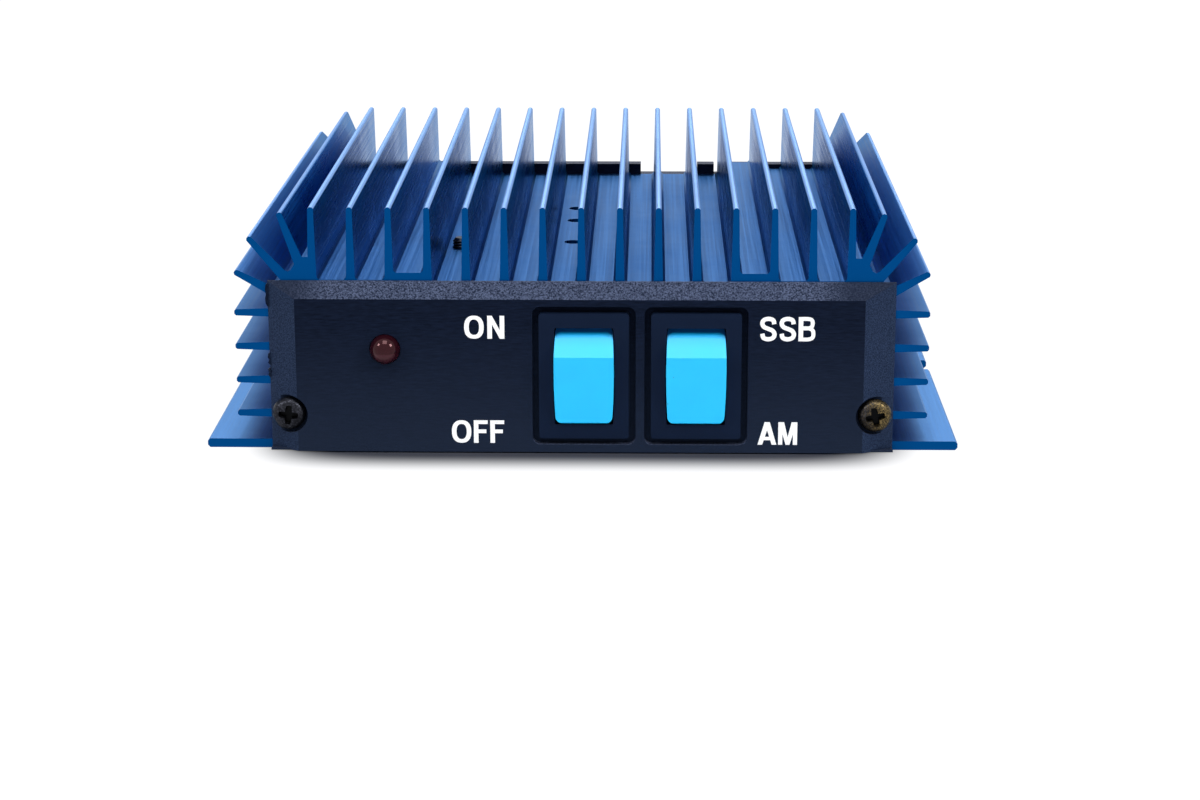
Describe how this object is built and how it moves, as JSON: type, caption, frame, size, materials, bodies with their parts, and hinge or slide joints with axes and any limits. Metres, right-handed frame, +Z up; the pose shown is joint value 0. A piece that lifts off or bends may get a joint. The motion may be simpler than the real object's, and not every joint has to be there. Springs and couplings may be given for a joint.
{
  "type": "hf linear amplifier",
  "caption": "Finned aluminium radio amplifier box with a dark front panel, blue rocker switches, an indicator lamp, flanged feet and coaxial sockets at the back.",
  "frame": {"origin": "centre of the underside, half way along the extrusion and level with its feet", "axes": "+X to the right seen from the front, +Y to the back where the sockets are, +Z up"},
  "size_m": [0.1244, 0.1274, 0.0406],
  "materials": {
    "anodised_aluminium": "blue anodised, satin",
    "panel_plastic": "dark blue-black, fine grain",
    "switch_plastic": "black, satin",
    "rocker_plastic": "bright blue, satin",
    "bare_aluminium": "mill finish",
    "black_steel": "black oxide",
    "plated_steel": "zinc plated",
    "nickel": "nickel plated",
    "contact_brass": "tin and brass",
    "white_insulator": "white",
    "lamp_red": "dark red, clear",
    "bush_rubber": "black, matt",
    "board_laminate": "green solder mask",
    "component_black": "black epoxy",
    "insulating_pad": "grey, matt",
    "ferrite": "dark grey, matt",
    "copper": "enamelled copper",
    "resistor_cement": "beige"
  },
  "bodies": {
    "amplifier": {"heatsink": "anodised_aluminium", "front_panel": "panel_plastic", "rear_panel": "panel_plastic", "base_plate": "bare_aluminium", "front_panel_screws": "black_steel", "rear_panel_screws": "black_steel", "socket_nuts": "nickel", "board_screw": "black_steel", "transistor_screws": "plated_steel", "indicator_lamp": "lamp_red", "lamp_leads": "plated_steel", "lead_bush": "bush_rubber", "circuit_board": "board_laminate", "board_pillar": "plated_steel", "transistor_cases": "component_black", "transistor_frames": "nickel", "transistor_pads": "insulating_pad", "transformer_cores": "ferrite", "transformer_windings": "copper", "changeover_relays": "component_black", "capacitor": "component_black", "power_resistors": "resistor_cement", "switch_links": "copper", "socket_links": "copper", "power_switch_housing": "switch_plastic", "power_terminals": "contact_brass", "mode_switch_housing": "switch_plastic", "mode_terminals": "contact_brass", "antenna_socket_shell": "nickel", "antenna_socket_insulator": "white_insulator", "antenna_socket_contact": "contact_brass", "radio_socket_shell": "nickel", "radio_socket_insulator": "white_insulator", "radio_socket_contact": "contact_brass"},
    "power_rocker": {"power_rocker": "rocker_plastic", "power_plunger": "switch_plastic", "power_spring": "plated_steel"},
    "mode_rocker": {"mode_rocker": "rocker_plastic", "mode_plunger": "switch_plastic", "mode_spring": "plated_steel"},
    "power_contact": {"power_contact_blade": "contact_brass"},
    "mode_contact": {"mode_contact_blade": "contact_brass"}
  },
  "joints": [
    {"name": "power_rocker_hinge", "type": "hinge", "parent": "amplifier", "child": "power_rocker", "pos_m": [0.00045, -0.0496, 0.0132], "axis": [1, 0, 0], "range_deg": [0, 18]},
    {"name": "power_contact_hinge", "type": "hinge", "parent": "amplifier", "child": "power_contact", "pos_m": [0.00045, -0.0413, 0.0132], "axis": [1, 0, 0], "range_deg": [-14, 0]},
    {"name": "mode_rocker_hinge", "type": "hinge", "parent": "amplifier", "child": "mode_rocker", "pos_m": [0.0188, -0.0496, 0.0132], "axis": [1, 0, 0], "range_deg": [0, 18]},
    {"name": "mode_contact_hinge", "type": "hinge", "parent": "amplifier", "child": "mode_contact", "pos_m": [0.0188, -0.0413, 0.0132], "axis": [1, 0, 0], "range_deg": [-14, 0]}
  ],
  "couplings": [
    {"joint": "power_contact_hinge", "follows": "power_rocker_hinge", "ratio": -0.77778},
    {"joint": "mode_contact_hinge", "follows": "mode_rocker_hinge", "ratio": -0.77778}
  ]
}
